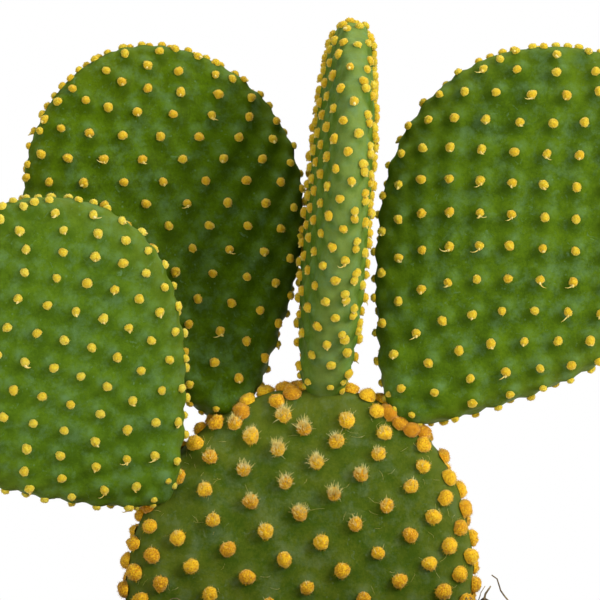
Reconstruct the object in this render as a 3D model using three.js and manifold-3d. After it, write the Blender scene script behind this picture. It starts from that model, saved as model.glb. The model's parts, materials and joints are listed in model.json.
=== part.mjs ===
// A potted paddle cactus: one old pad rooted upright in a clay pot, with four young pads grown
// from its rim. Every pad is studded with round tufts of short golden barbs on a spiral lattice.
// Millimetres, +Z up. The origin is the middle of the pot's underside, and -Y is the front.
import * as THREE from "three";
import { ConvexHull } from "three/addons/math/ConvexHull.js";
import { mergeVertices } from "three/addons/utils/BufferGeometryUtils.js";
import Module from "manifold-3d";

const wasm = await Module();
wasm.setup();

// Pot: a plain tapered clay pot with a thick rim and three drain holes round a solid middle.
const POT_HEIGHT = 100;
const RIM_RADIUS = 60;
const RIM_HEIGHT = 24;
const RIM_TAPER = 1.6;
const RIM_STEP = 5;
const BASE_RADIUS = 41;
const WALL = 5;
const FLOOR = 8;
const EDGE_ROUND = 1.5;
const DRAIN_RADIUS = 4;
const DRAIN_CIRCLE = 17;
const DRAIN_COUNT = 3;
const DRAIN_SEGMENTS = 16;
const ROUND_SEGMENTS = 48;

// Soil: heaped against the old pad and lower at the wall. Its clods are waves about 12 mm long, each
// with the radians that it turns for a millimetre of x and of y, and its share of the relief.
const SOIL_EDGE = POT_HEIGHT - 4;
const SOIL_CREST = POT_HEIGHT + 2.2;
const MOUND_HALF_LENGTH = 30;
const MOUND_FLAT = 7;
const MOUND_REACH = 25;
const SOIL_RINGS = [47.5, 42, 36, 30, 24, 18, 12, 6];
const CLOD_RELIEF = 0.9;
const CLOD_WAVES = [[0.5, 0.16, 0.55], [-0.2, 0.49, 0.5], [0.33, -0.42, 0.45]];

// The space kept between pieces that touch.
const GAP = 0.3;

// Pads. Their outline narrows to the joint by `wedge`, `fullness` under 1 squares it, and the tip
// is carried `skew` to the right and `bend` to the back. `crowding` sets the tufts closer together
// along the thin rim, by `rimGain` larger there, and they start at `firstTuft` above the joint.
// `bareRings` are [height, number of points].
const SECTION_POWER = 2.8;
const THICKNESS_POWER = 0.4;
const TIP_THINNING = 0.3;
const RIM_SHARPNESS = 5;
const TIP_SHARPNESS = 14;
const PERIMETER_STEPS = 180;
const PAD_BANDS = 120;
const MOST_FLIP_PASSES = 60;
const GOLDEN_TURN = (Math.sqrt(5) - 1) / 2;

// A tuft's foot takes at most this share of the way to the next site.
const FOOT_SHARE = 0.42;

// The old pad's foot: its depth in the soil, and its place to the right of the pot's axis.
const BURIED = 39.5;
const FOOT_SHIFT = -1.4;

const OLD_PAD = {
  name: "mother_pad", length: 83, width: 68.4, thickness: 14, fullness: 0.93, wedge: 0.06, bend: 0,
  skew: 4.2, tufts: 146, phase: 0.1, crowding: 2.6, tuftRadius: 1.6, tuftHeight: 1.6, rimGain: 0.25,
  firstTuft: BURIED + 0.4, bareRings: [[1.5, 8], [8, 12], [18, 14], [30, 14]], green: 0x4f6426,
};

// Young pads: `root` is where the joint stands on the old pad, seen from above, and the angles turn
// the pad about its own length, lean it to the front and tilt it to the right, in degrees.
const YOUNG = {
  thickness: 12, fullness: 1.12, wedge: 0.66, skew: 0, crowding: 1.4, tuftRadius: 1, tuftHeight: 0.95,
  rimGain: 0.25, firstTuft: 4.8, bareRings: [[0.9, 6], [2.8, 8]], green: 0x4b6a1c,
};
const YOUNG_PADS = [
  { ...YOUNG, name: "back_left_pad", length: 78, width: 55.5, bend: -2, tufts: 226, phase: 0.31,
    root: [-12.3, 2.2], turn: 15, lean: -6, tilt: -17.5 },
  { ...YOUNG, name: "front_left_pad", length: 70.5, width: 60, bend: 2, tufts: 238, phase: 0.62,
    root: [-26.2, -2.5], turn: -2, lean: 17, tilt: -40.5 },
  { ...YOUNG, name: "centre_pad", length: 74.5, width: 50, bend: 0, tufts: 214, phase: 0.05,
    crowding: 2.4, root: [6, -1.5], turn: 94, lean: 2, tilt: 4.5 },
  { ...YOUNG, name: "right_pad", length: 84.5, width: 62.5, bend: -2, tufts: 252, phase: 0.47,
    root: [21.5, 0], turn: -8, lean: 4, tilt: 34.4 },
];

// A young pad's foot starts this far inside the old pad's rim, and the old pad has no tuft nearer
// to a joint than the clearing.
const JOINT_SINK = 1.5;
const JOINT_CLEARING = 4.8;

const clay = new THREE.MeshStandardMaterial({ color: 0xb5694a, roughness: 0.9, metalness: 0 });
const peat = new THREE.MeshStandardMaterial({ color: 0x3b2e24, roughness: 1, metalness: 0 });
const padSkin = (green) => new THREE.MeshStandardMaterial({ color: green, roughness: 0.55, metalness: 0 });

const smoothstep = THREE.MathUtils.smoothstep;
const signedPower = (value, power) => Math.sign(value) * Math.abs(value) ** power;

// Half width and half thickness of a pad at `along`, from 0 at the joint to 1 at the tip.
function outline(pad, along) {
  const round = Math.sqrt(Math.max(0, 4 * along * (1 - along)));
  return round ** pad.fullness * (1 - pad.wedge * (1 - along) ** 2);
}

function halfSizes(pad, along) {
  pad.widest ??= Math.max(...Array.from({ length: 99 }, (_, i) => outline(pad, (i + 1) / 100)));
  const round = Math.sqrt(Math.max(0, 4 * along * (1 - along)));
  return {
    width: (pad.width / 2) * outline(pad, along) / pad.widest,
    thickness: (pad.thickness / 2) * round ** THICKNESS_POWER * (1 - TIP_THINNING * along),
  };
}

// A point of the skin: `along` the pad and at an angle round its flattened section.
function skinPoint(pad, along, angle) {
  const half = halfSizes(pad, along);
  const x = half.width * signedPower(Math.cos(angle), 2 / SECTION_POWER);
  const y = half.thickness * signedPower(Math.sin(angle), 2 / SECTION_POWER);
  return new THREE.Vector3(x + pad.skew * along ** 2, y + pad.bend * along ** 2, pad.length * along);
}

function skinNormal(pad, along, angle) {
  const step = 1e-3;
  const low = Math.max(along - step, 1e-5);
  const high = Math.min(along + step, 1 - 1e-5);
  const up = skinPoint(pad, high, angle).sub(skinPoint(pad, low, angle));
  const round = skinPoint(pad, along, angle + step).sub(skinPoint(pad, along, angle - step));
  return round.cross(up).normalize();
}

// How far a point of the skin is on the thin rim, from 0 on a flat side to 1.
function rimShare(along, angle) {
  return Math.max(Math.abs(Math.cos(angle)) ** RIM_SHARPNESS, along ** TIP_SHARPNESS);
}

// Running totals of the weighted length round the section, to turn a share of it into an angle.
function perimeterTable(pad, along) {
  const totals = [0];
  let last = skinPoint(pad, along, 0);
  for (let i = 1; i <= PERIMETER_STEPS; i++) {
    const angle = (2 * Math.PI * i) / PERIMETER_STEPS;
    const here = skinPoint(pad, along, angle);
    totals.push(totals[i - 1] + here.distanceTo(last) * (1 + pad.crowding * rimShare(along, angle)));
    last = here;
  }
  return totals;
}

// The place in a rising table of totals that holds a share of its last value, from 0 to 1.
function placeOf(totals, share) {
  const wanted = share * totals.at(-1);
  const after = Math.max(1, totals.findIndex((total) => total >= wanted));
  const part = (wanted - totals[after - 1]) / (totals[after] - totals[after - 1]);
  return (after - 1 + part) / (totals.length - 1);
}

// The skin's sites: the tufts on a golden-angle spiral with even area for each, and bare rings
// and poles that shape the rest. `sphere` is the same place on a unit ball.
function sitesOf(pad, bareSpots) {
  const areas = [0];
  for (let i = 0; i < PAD_BANDS; i++) {
    const along = (i + 0.5) / PAD_BANDS;
    areas.push(areas[i] + perimeterTable(pad, along).at(-1));
  }
  const areaShare = (along) => {
    const place = Math.min(along * PAD_BANDS, PAD_BANDS - 1e-6);
    const band = Math.floor(place);
    return (areas[band] + (place - band) * (areas[band + 1] - areas[band])) / areas.at(-1);
  };
  const site = (along, share, tuft) => {
    const angle = 2 * Math.PI * placeOf(perimeterTable(pad, along), share);
    const latitude = Math.acos(1 - 2 * THREE.MathUtils.clamp(areaShare(along), 0, 1));
    const turn = 2 * Math.PI * share;
    const sphere = new THREE.Vector3(
      Math.sin(latitude) * Math.cos(turn), Math.sin(latitude) * Math.sin(turn), -Math.cos(latitude));
    const at = skinPoint(pad, along, angle);
    const out = skinNormal(pad, along, angle);
    return { at, out, sphere, tuft, rim: rimShare(along, angle) };
  };

  const first = areaShare(pad.firstTuft / pad.length);
  const sites = [];
  for (let i = 0; i < pad.tufts; i++) {
    const share = first + ((i + 0.5) / pad.tufts) * (1 - first);
    const along = placeOf(areas, share);
    const made = site(along, (i * GOLDEN_TURN + pad.phase) % 1, true);
    made.tuft = bareSpots.every((spot) => spot.distanceTo(made.at) > JOINT_CLEARING);
    sites.push(made);
  }
  for (const [height, count] of pad.bareRings) {
    for (let i = 0; i < count; i++) sites.push(site(height / pad.length, (i + 0.5) / count, false));
  }
  sites.push({
    at: new THREE.Vector3(0, 0, 0), out: new THREE.Vector3(0, 0, -1),
    sphere: new THREE.Vector3(0, 0, -1), tuft: false, rim: 0,
  });
  return sites;
}

// Corner angle at `tip` in the triangle with a and b.
const angleAt = (tip, a, b) => a.clone().sub(tip).angleTo(b.clone().sub(tip));

// Joins the sites into triangles: the hull of their places on the ball, with edges then flipped
// until no triangle can be made rounder on the real skin.
function triangulate(sites) {
  const numberOf = new Map(sites.map((site, i) => [site.sphere, i]));
  const hull = new ConvexHull().setFromPoints(sites.map((site) => site.sphere));
  const triangles = hull.faces.map((face) => {
    const edges = [face.edge, face.edge.next, face.edge.next.next];
    return edges.map((edge) => numberOf.get(edge.head().point));
  });
  for (let pass = 0, flips = 1; flips && pass < MOST_FLIP_PASSES; pass++) {
    flips = 0;
    const across = new Map();
    triangles.forEach((corners, t) => corners.forEach((a, i) => {
      across.set(`${a},${corners[(i + 1) % 3]}`, { t, tip: corners[(i + 2) % 3] });
    }));
    const touched = new Set();
    for (const [edge, here] of across) {
      const [a, b] = edge.split(",").map(Number);
      const there = across.get(`${b},${a}`);
      if (a > b || touched.has(here.t) || touched.has(there.t)) continue;
      if (across.has(`${here.tip},${there.tip}`) || across.has(`${there.tip},${here.tip}`)) continue;
      const [pa, pb] = [sites[a].at, sites[b].at];
      const sum = angleAt(sites[here.tip].at, pa, pb) + angleAt(sites[there.tip].at, pa, pb);
      if (sum < Math.PI + 1e-4) continue;
      triangles[here.t] = [here.tip, a, there.tip];
      triangles[there.t] = [there.tip, b, here.tip];
      touched.add(here.t).add(there.t);
      flips++;
    }
  }
  return triangles;
}

// A pad's skin with each tuft raised from it as a blunt cone, whose foot has one corner towards
// each neighbouring site.
function studdedSkin(pad, bareSpots = []) {
  const sites = sitesOf(pad, bareSpots);
  const points = [];
  const faces = [];
  const numbers = new Map();
  const vertex = (key, place) => {
    if (!numbers.has(key)) numbers.set(key, points.push(place()) - 1);
    return numbers.get(key);
  };
  const foot = (i, j) => vertex(sites[i].tuft ? `${i}>${j}` : `${i}`, () => {
    const { at, tuft, rim } = sites[i];
    if (!tuft) return at.clone();
    const reach = sites[j].at.clone().sub(at);
    const radius = pad.tuftRadius * (1 + pad.rimGain * rim);
    return reach.multiplyScalar(Math.min(radius / reach.length(), FOOT_SHARE)).add(at);
  });
  const top = (i) => vertex(`${i}^`, () => {
    const { at, out, rim } = sites[i];
    return out.clone().multiplyScalar(pad.tuftHeight * (1 + pad.rimGain * rim)).add(at);
  });
  for (const corners of triangulate(sites)) {
    const ring = [];
    corners.forEach((here, i) => {
      const [before, after] = [corners[(i + 2) % 3], corners[(i + 1) % 3]];
      ring.push(foot(here, before));
      if (!sites[here].tuft) return;
      ring.push(foot(here, after));
      faces.push([top(here), foot(here, after), foot(here, before)]);
    });
    for (let i = 1; i + 1 < ring.length; i++) faces.push([ring[0], ring[i], ring[i + 1]]);
  }
  const geometry = new THREE.BufferGeometry().setFromPoints(points);
  geometry.setIndex(faces.flat());
  return geometry;
}

// The same surface moved outwards, for the seat that a neighbour leaves round it.
function grown(geometry, distance) {
  const copy = geometry.clone();
  copy.computeVertexNormals();
  const { position, normal } = copy.attributes;
  for (let i = 0; i < position.count; i++) {
    position.setXYZ(i, position.getX(i) + distance * normal.getX(i),
      position.getY(i) + distance * normal.getY(i), position.getZ(i) + distance * normal.getZ(i));
  }
  return copy;
}

function solidOf(geometry) {
  const bare = geometry.clone();
  bare.deleteAttribute("normal");
  bare.deleteAttribute("uv");
  const merged = mergeVertices(bare, 1e-4);
  return new wasm.Manifold(new wasm.Mesh({
    numProp: 3, vertProperties: merged.attributes.position.array,
    triVerts: new Uint32Array(merged.index.array),
  }));
}

// The largest body of a solid, as a three.js geometry.
function geometryOf(solid) {
  const bodies = solid.decompose().sort((a, b) => b.volume() - a.volume());
  const mesh = bodies[0].getMesh();
  const geometry = new THREE.BufferGeometry();
  geometry.setAttribute("position", new THREE.BufferAttribute(mesh.vertProperties, 3));
  geometry.setIndex(new THREE.BufferAttribute(mesh.triVerts, 1));
  return geometry;
}

// A turned shape about +Z from [radius, height] pairs that start and end on the axis.
function turned(profile) {
  const points = profile.map(([radius, height]) => new THREE.Vector2(radius, height));
  return new THREE.LatheGeometry(points, ROUND_SEGMENTS).rotateX(Math.PI / 2);
}

// Inner radius of the pot at a height above its floor.
function innerRadius(height) {
  const share = (height - FLOOR) / (POT_HEIGHT - FLOOR);
  return THREE.MathUtils.lerp(BASE_RADIUS - WALL, RIM_RADIUS - WALL - EDGE_ROUND, share);
}

function potGeometry() {
  const rimFoot = POT_HEIGHT - RIM_HEIGHT;
  const rimLow = RIM_RADIUS - RIM_TAPER;
  const profile = [
    [0, 0], [BASE_RADIUS - EDGE_ROUND, 0], [BASE_RADIUS, EDGE_ROUND],
    [rimLow - RIM_STEP, rimFoot - EDGE_ROUND], [rimLow - EDGE_ROUND, rimFoot], [rimLow, rimFoot + EDGE_ROUND],
    [RIM_RADIUS, POT_HEIGHT - 2 * EDGE_ROUND], [RIM_RADIUS - EDGE_ROUND, POT_HEIGHT],
    [innerRadius(POT_HEIGHT) + EDGE_ROUND, POT_HEIGHT],
    [innerRadius(POT_HEIGHT - EDGE_ROUND), POT_HEIGHT - EDGE_ROUND], [innerRadius(FLOOR), FLOOR], [0, FLOOR],
  ];
  let pot = solidOf(turned(profile));
  for (let i = 0; i < DRAIN_COUNT; i++) {
    const turn = (2 * Math.PI * i) / DRAIN_COUNT + Math.PI / 2;
    const hole = new THREE.CylinderGeometry(DRAIN_RADIUS, DRAIN_RADIUS, 3 * FLOOR, DRAIN_SEGMENTS);
    hole.rotateX(Math.PI / 2).translate(DRAIN_CIRCLE * Math.cos(turn), DRAIN_CIRCLE * Math.sin(turn), 0);
    pot = pot.subtract(solidOf(hole));
  }
  return geometryOf(pot);
}

// Height of the soil over a place: the mound along the old pad, and the clods.
function soilHeight(x, y) {
  const fromPad = Math.hypot(Math.max(Math.abs(x) - MOUND_HALF_LENGTH, 0), y);
  const mound = 1 - smoothstep(fromPad, MOUND_FLAT, MOUND_REACH);
  const clods = CLOD_WAVES.reduce((sum, [byX, byY, share]) => sum + share * Math.sin(byX * x + byY * y), 0);
  return SOIL_EDGE + (SOIL_CREST - SOIL_EDGE) * mound + CLOD_RELIEF * clods;
}

// The soil fills the pot, with a plain socket for the old pad's buried foot.
function soilGeometry(oldPadSeat) {
  const floor = FLOOR + GAP;
  const rings = [innerRadius(SOIL_EDGE) - GAP, ...SOIL_RINGS, 0];
  const profile = [[0, floor], [innerRadius(floor) - GAP, floor], ...rings.map((r) => [r, SOIL_EDGE])];
  const body = turned(profile);
  const position = body.attributes.position;
  for (let i = 0; i < position.count; i++) {
    if (position.getZ(i) < SOIL_EDGE - 1) continue;
    position.setZ(i, soilHeight(position.getX(i), position.getY(i)));
  }
  return geometryOf(solidOf(body).subtract(oldPadSeat));
}

// Height of the old pad's upper rim over a point seen from above, by halving.
function rimHeightOver(x, y) {
  let [low, high] = [0.5, 1];
  for (let i = 0; i < 40; i++) {
    const middle = (low + high) / 2;
    const half = halfSizes(OLD_PAD, middle);
    const across = Math.abs((x - OLD_PAD.skew * middle ** 2) / half.width) ** SECTION_POWER;
    const through = Math.abs(y / half.thickness) ** SECTION_POWER;
    if (across + through < 1) low = middle;
    else high = middle;
  }
  return OLD_PAD.length * low;
}

const plant = new THREE.Group();
plant.position.set(FOOT_SHIFT, 0, SOIL_CREST - BURIED);

// Frame of a young pad in the old pad's own frame.
function placeOfPad(pad) {
  const frame = new THREE.Object3D();
  const radians = THREE.MathUtils.degToRad;
  frame.rotation.set(radians(pad.lean), radians(pad.tilt), radians(pad.turn), "YXZ");
  const growth = new THREE.Vector3(0, 0, 1).applyEuler(frame.rotation);
  frame.position.set(...pad.root, rimHeightOver(...pad.root)).addScaledVector(growth, -JOINT_SINK);
  frame.updateMatrix();
  return frame;
}

const frames = YOUNG_PADS.map(placeOfPad);
const joints = frames.map((frame) => frame.position.clone());
const oldPad = new THREE.Mesh(studdedSkin(OLD_PAD, joints), padSkin(OLD_PAD.green));
oldPad.name = OLD_PAD.name;
plant.add(oldPad);
const oldPadSeat = solidOf(grown(oldPad.geometry, GAP));

YOUNG_PADS.forEach((pad, i) => {
  const seat = oldPadSeat.transform(frames[i].matrix.clone().invert().elements);
  const shaped = geometryOf(solidOf(studdedSkin(pad)).subtract(seat));
  const mesh = new THREE.Mesh(shaped, padSkin(pad.green));
  mesh.name = pad.name;
  mesh.position.copy(frames[i].position);
  mesh.rotation.copy(frames[i].rotation);
  plant.add(mesh);
});

const pot = new THREE.Mesh(potGeometry(), clay);
pot.name = "clay_pot";
const soil = new THREE.Mesh(soilGeometry(oldPadSeat.translate(plant.position.toArray())), peat);
soil.name = "potting_soil";

const cactus = new THREE.Group();
cactus.add(pot, soil, plant);

export default cactus;
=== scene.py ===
import json
import math

import bmesh
import bpy
import numpy as np
from mathutils import Matrix, Vector, noise

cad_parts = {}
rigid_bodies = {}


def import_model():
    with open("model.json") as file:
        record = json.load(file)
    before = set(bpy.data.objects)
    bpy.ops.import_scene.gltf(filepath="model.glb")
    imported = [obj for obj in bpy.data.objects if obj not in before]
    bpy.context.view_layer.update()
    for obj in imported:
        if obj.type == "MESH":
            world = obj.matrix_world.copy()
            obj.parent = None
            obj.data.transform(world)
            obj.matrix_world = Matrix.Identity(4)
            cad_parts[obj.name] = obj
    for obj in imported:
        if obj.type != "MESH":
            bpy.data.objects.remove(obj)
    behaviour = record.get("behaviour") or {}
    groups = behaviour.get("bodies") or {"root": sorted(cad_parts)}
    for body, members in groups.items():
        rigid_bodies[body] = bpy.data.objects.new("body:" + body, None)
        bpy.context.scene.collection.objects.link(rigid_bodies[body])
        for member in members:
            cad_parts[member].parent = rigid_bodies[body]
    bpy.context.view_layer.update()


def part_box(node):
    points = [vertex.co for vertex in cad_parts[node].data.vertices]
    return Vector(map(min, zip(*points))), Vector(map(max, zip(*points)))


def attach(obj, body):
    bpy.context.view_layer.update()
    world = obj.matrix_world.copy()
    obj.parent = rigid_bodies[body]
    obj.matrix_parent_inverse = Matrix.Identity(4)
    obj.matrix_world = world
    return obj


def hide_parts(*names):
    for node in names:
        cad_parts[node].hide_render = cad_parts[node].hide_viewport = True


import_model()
MM = 0.001


# The camera stands level in front of the plant with a long lens. It looks between the pads, so
# the frame holds the four young pads and the upper part of the old one, and the pot stays below.
CAMERA_DISTANCE = 1.3
CAMERA_HEIGHT = 0.1637
CAMERA_SIDE = -0.0001
SEEN_WIDTH = 0.12
SENSOR_MM = 36

camera_data = bpy.data.cameras.new("front_camera")
camera_data.sensor_width = SENSOR_MM
camera_data.lens = SENSOR_MM * CAMERA_DISTANCE / SEEN_WIDTH
camera = bpy.data.objects.new("front_camera", camera_data)
camera.location = (CAMERA_SIDE, -CAMERA_DISTANCE, CAMERA_HEIGHT)
camera.rotation_euler = (math.pi / 2, 0, 0)
bpy.context.scene.collection.objects.link(camera)
bpy.context.scene.camera = camera
bpy.context.scene.view_settings.view_transform = "Standard"


# The stage is a plain pale table top in a white room, with a large soft lamp at the upper right,
# a weak one at the left and one overhead, as a small product studio has.
TABLE_RADIUS = 1.2
TABLE_SIDES = 96
LAMP_AIM = (0, 0, 0.15)
ROOM_LIGHT = 0.35
WHITE = (1, 1, 1, 1)


def paint(red, green, blue):
    """A colour given as 0 to 255 screen values, as the linear colour that a shader reads."""

    def linear(value):
        """One screen value, 0 to 255, as a linear share of 1."""
        share = value / 255
        return share / 12.92 if share <= 0.04045 else ((share + 0.055) / 1.055) ** 2.4

    return (linear(red), linear(green), linear(blue), 1)


def add(tree, kind, inputs=None, **settings):
    """A new node with its settings, its inputs set to values or linked to other nodes' sockets."""
    node = tree.nodes.new(kind)
    for key, value in settings.items():
        setattr(node, key, value)
    for key, value in (inputs or {}).items():
        if isinstance(value, bpy.types.NodeSocket):
            tree.links.new(value, node.inputs[key])
        else:
            node.inputs[key].default_value = value
    return node


def material_named(name, roughness, specular=0.5):
    """A new material, its node tree and its shader."""
    material = bpy.data.materials.new(name)
    material.use_nodes = True
    shader = material.node_tree.nodes["Principled BSDF"]
    shader.inputs["Roughness"].default_value = roughness
    shader.inputs["Specular IOR Level"].default_value = specular
    return material, material.node_tree, shader


def ramp(tree, share, stops):
    """A colour ramp over a share, from (position, colour) stops. Returns its colour."""
    node = add(tree, "ShaderNodeValToRGB", {"Fac": share})
    elements = node.color_ramp.elements
    while len(elements) < len(stops):
        elements.new(1)
    for element, (position, colour) in zip(elements, stops):
        element.position = position
        element.color = colour
    return node.outputs["Color"]


def mix(tree, share, first, second):
    """Two colours mixed by a share. A mix node has its colours at sockets 6 and 7, and gives the
    mixed colour at socket 2."""
    inputs = {0: share, 6: first, 7: second}
    return add(tree, "ShaderNodeMix", inputs, data_type="RGBA", clamp_factor=True).outputs[2]


def mapped(tree, value, low, high, to_low=0.0, to_high=1.0):
    """A value stretched so that low to high becomes to_low to to_high, and held there."""
    names = ("Value", "From Min", "From Max", "To Min", "To Max")
    node = add(tree, "ShaderNodeMapRange", dict(zip(names, (value, low, high, to_low, to_high))))
    return node.outputs["Result"]


def place_in(tree):
    """Where each point of a piece lies, in metres."""
    return add(tree, "ShaderNodeTexCoord").outputs["Object"]


def noise_at(tree, place, scale, detail=4.0, roughness=0.55, distortion=0.0):
    """The grey value of a noise, with its scale in cells a metre."""
    inputs = {"Vector": place, "Scale": scale, "Detail": detail, "Roughness": roughness,
              "Distortion": distortion}
    return add(tree, "ShaderNodeTexNoise", inputs).outputs["Fac"]


def maths(tree, operation, first, second):
    """One sum, product or other operation on two values."""
    return add(tree, "ShaderNodeMath", {0: first, 1: second}, operation=operation).outputs[0]


def bumped(tree, shader, height, distance, strength=1.0):
    """Feeds a height, in the given distance in metres, to the shader's normal."""
    node = add(tree, "ShaderNodeBump", {"Height": height, "Distance": distance, "Strength": strength})
    tree.links.new(node.outputs["Normal"], shader.inputs["Normal"])


def mesh_object(name, points, faces, material, smooth=True):
    """An object from points in metres and lists of point numbers, linked to the scene."""
    mesh = bpy.data.meshes.new(name)
    mesh.from_pydata([tuple(point) for point in points], [], faces)
    mesh.materials.append(material)
    mesh.polygons.foreach_set("use_smooth", [smooth] * len(mesh.polygons))
    mesh.update()
    made = bpy.data.objects.new(name, mesh)
    bpy.context.scene.collection.objects.link(made)
    return made


floor_material, floor_tree, floor_shader = material_named("pale_table_top", roughness=0.6)
floor_grain = noise_at(floor_tree, place_in(floor_tree), 260.0)
floor_colour = ramp(floor_tree, floor_grain, [(0.2, paint(236, 235, 232)), (0.8, paint(243, 242, 240))])
floor_tree.links.new(floor_colour, floor_shader.inputs["Base Color"])
floor_turns = [2 * math.pi * i / TABLE_SIDES for i in range(TABLE_SIDES)]
floor_rim = [(TABLE_RADIUS * math.cos(turn), TABLE_RADIUS * math.sin(turn), 0) for turn in floor_turns]
floor = mesh_object("table_top", floor_rim, [list(range(TABLE_SIDES))], floor_material)


def softbox(name, place, size, watts, colour):
    """A square area lamp that faces the plant."""
    lamp = bpy.data.lights.new(name, "AREA")
    lamp.size = size
    lamp.energy = watts
    lamp.color = colour
    made = bpy.data.objects.new(name, lamp)
    made.location = place
    made.rotation_euler = (Vector(LAMP_AIM) - Vector(place)).to_track_quat("-Z", "Y").to_euler()
    bpy.context.scene.collection.objects.link(made)


softbox("key_softbox", place=(1.05, -0.75, 0.75), size=0.45, watts=20.5, colour=(1.0, 0.99, 0.97))
softbox("fill_softbox", place=(-0.95, -0.9, 0.35), size=0.8, watts=5, colour=(0.98, 0.99, 1.0))
softbox("top_softbox", place=(0.15, 0.1, 1.25), size=0.6, watts=8.5, colour=(1.0, 1.0, 1.0))

world = bpy.data.worlds.new("white_room")
world.use_nodes = True
bpy.context.scene.world = world
world_tree = world.node_tree
world_tree.nodes.clear()
seen_room = add(world_tree, "ShaderNodeBackground", {"Color": WHITE, "Strength": 1.0})
lit_room = add(world_tree, "ShaderNodeBackground", {"Color": WHITE, "Strength": ROOM_LIGHT})
camera_ray = add(world_tree, "ShaderNodeLightPath").outputs["Is Camera Ray"]
room_inputs = {0: camera_ray, 1: lit_room.outputs[0], 2: seen_room.outputs[0]}
room = add(world_tree, "ShaderNodeMixShader", room_inputs)
add(world_tree, "ShaderNodeOutputWorld", {"Surface": room.outputs[0]})


# The pot is thrown from red clay and fired without a glaze. It tapers to its foot, has a thick
# collar at the mouth, faint rings from the wheel and three drain holes in its floor.
POT_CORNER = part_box("clay_pot")[1]
POT_HEIGHT = POT_CORNER.z
RIM_RADIUS = POT_CORNER.x
RIM_HEIGHT = 24 * MM
RIM_TAPER = 1.6 * MM
RIM_STEP = 5 * MM
BASE_RADIUS = 41 * MM
POT_WALL = 5 * MM
POT_FLOOR = 8 * MM
EDGE_ROUND = 1.5 * MM
ROUND_STEPS = 5
ROUND_MOST = 0.45
DRAIN_RADIUS = 4 * MM
DRAIN_CIRCLE = 17 * MM
DRAIN_COUNT = 3
DRILL_SIDES = 40
POT_SEGMENTS = 150
POT_STEP = 2 * MM
WHEEL_RING = 2.6 * MM
WHEEL_RELIEF = 0.07 * MM
WHEEL_WANDER = 0.8
WHEEL_FROM = 8 * MM
OUT_OF_ROUND = 0.18 * MM
LIME_ROUND_FOOT = (4 * MM, 34 * MM)
LIME_UNDER_RIM = (76 * MM, 100 * MM)
LIME_STRENGTH = 0.62


def inner_radius(height):
    """Inner radius of the pot at a height over its underside."""
    share = (height - POT_FLOOR) / (POT_HEIGHT - POT_FLOOR)
    foot = BASE_RADIUS - POT_WALL
    return foot + (RIM_RADIUS - POT_WALL - EDGE_ROUND - foot) * share


def rounded(corners, radius):
    """A line through [across, up] corners with each inner corner rounded by a curve."""
    line = [Vector(corners[0])]
    for before, corner, after in zip(corners, corners[1:], corners[2:]):
        corner = Vector(corner)
        back = Vector(before) - corner
        ahead = Vector(after) - corner
        start = corner + back.normalized() * min(radius, back.length * ROUND_MOST)
        end = corner + ahead.normalized() * min(radius, ahead.length * ROUND_MOST)
        for i in range(ROUND_STEPS + 1):
            t = i / ROUND_STEPS
            line.append(start * (1 - t) ** 2 + corner * 2 * t * (1 - t) + end * t * t)
    return line + [Vector(corners[-1])]


def refined(line, step):
    """The same line with no stretch longer than a step."""
    fine = [line[0]]
    for start, end in zip(line, line[1:]):
        count = max(1, math.ceil((end - start).length / step))
        fine += [start.lerp(end, (i + 1) / count) for i in range(count)]
    return fine


def ringed_faces(rings, columns, first, foot, tip):
    """Faces of a closed form: rings of points from number `first` on, joined by squares, with a
    fan to one point at either end."""
    faces = []
    last = first + (rings - 1) * columns
    for i in range(columns):
        j = (i + 1) % columns
        faces.append((foot, first + j, first + i))
        faces.append((tip, last + i, last + j))
        for low in range(first, last, columns):
            faces.append((low + i, low + j, low + columns + j, low + columns + i))
    return faces


def lathe(profile, segments):
    """Points and faces of a shape turned about +Z, from [radius, height] points axis to axis."""
    turns = [2 * math.pi * i / segments for i in range(segments)]
    rings = profile[1:-1]
    points = [(0, 0, profile[0][1]), (0, 0, profile[-1][1])]
    points += [(r * math.cos(a), r * math.sin(a), z) for r, z in rings for a in turns]
    return points, ringed_faces(len(rings), segments, first=2, foot=0, tip=1)


rim_foot = POT_HEIGHT - RIM_HEIGHT
rim_low = RIM_RADIUS - RIM_TAPER
pot_corners = [
    (0, 0), (BASE_RADIUS, 0), (rim_low - RIM_STEP, rim_foot - EDGE_ROUND), (rim_low, rim_foot),
    (RIM_RADIUS, POT_HEIGHT), (inner_radius(POT_HEIGHT), POT_HEIGHT),
    (inner_radius(POT_FLOOR), POT_FLOOR), (0, POT_FLOOR),
]
pot_points, pot_faces = lathe(refined(rounded(pot_corners, EDGE_ROUND), POT_STEP), POT_SEGMENTS)
thrown = []
for x, y, z in pot_points:
    radius = math.hypot(x, y)
    turn = math.atan2(y, x)
    lift = min(1, z / (4 * WHEEL_RING))
    wander = WHEEL_WANDER * math.sin(turn + 0.5)
    ring = WHEEL_RELIEF * math.sin(2 * math.pi * z / WHEEL_RING + wander)
    sway = OUT_OF_ROUND * math.sin(2 * turn + 0.7) * z / POT_HEIGHT
    grow = 1 + (ring + sway) * lift / radius if radius > WHEEL_FROM else 1
    thrown.append((x * grow, y * grow, z))

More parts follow.
